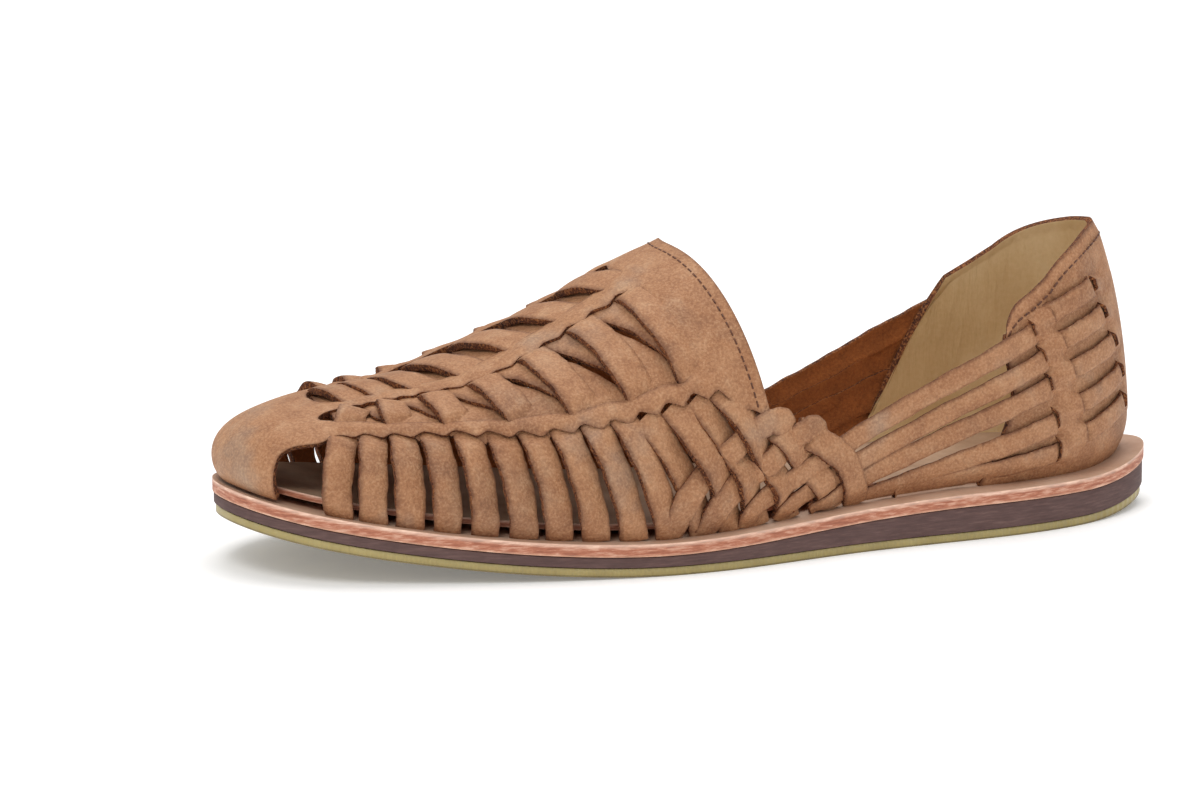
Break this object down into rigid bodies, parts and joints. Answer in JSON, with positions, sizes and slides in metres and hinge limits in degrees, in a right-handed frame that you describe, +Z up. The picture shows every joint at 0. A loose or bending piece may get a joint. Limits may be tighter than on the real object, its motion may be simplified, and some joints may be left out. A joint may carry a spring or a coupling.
{
  "type": "huarache sandal",
  "caption": "Low woven leather shoe with closed toe cap, plaited vamp and waist, strapped heel counter, leather platform, rubber wedge and thin outsole; left foot.",
  "frame": {"origin": "centre of the bounding box in plan, on the floor plane under the outsole", "axes": "+X from toe to heel, -Y to the outer (lateral) side of this left shoe, +Z up"},
  "size_m": [0.292, 0.1024, 0.0891],
  "materials": {
    "hide_tan": "waxed nubuck, matte",
    "footbed_leather": "smooth, matte",
    "natural_leather": "natural vegetable-tanned, cut edge",
    "dark_rubber": "matte",
    "gum_rubber": "satin, slightly translucent"
  },
  "bodies": {
    "root": {"upper": "hide_tan", "insole": "footbed_leather", "platform": "natural_leather", "midsole": "dark_rubber", "outsole": "gum_rubber"}
  },
  "joints": []
}
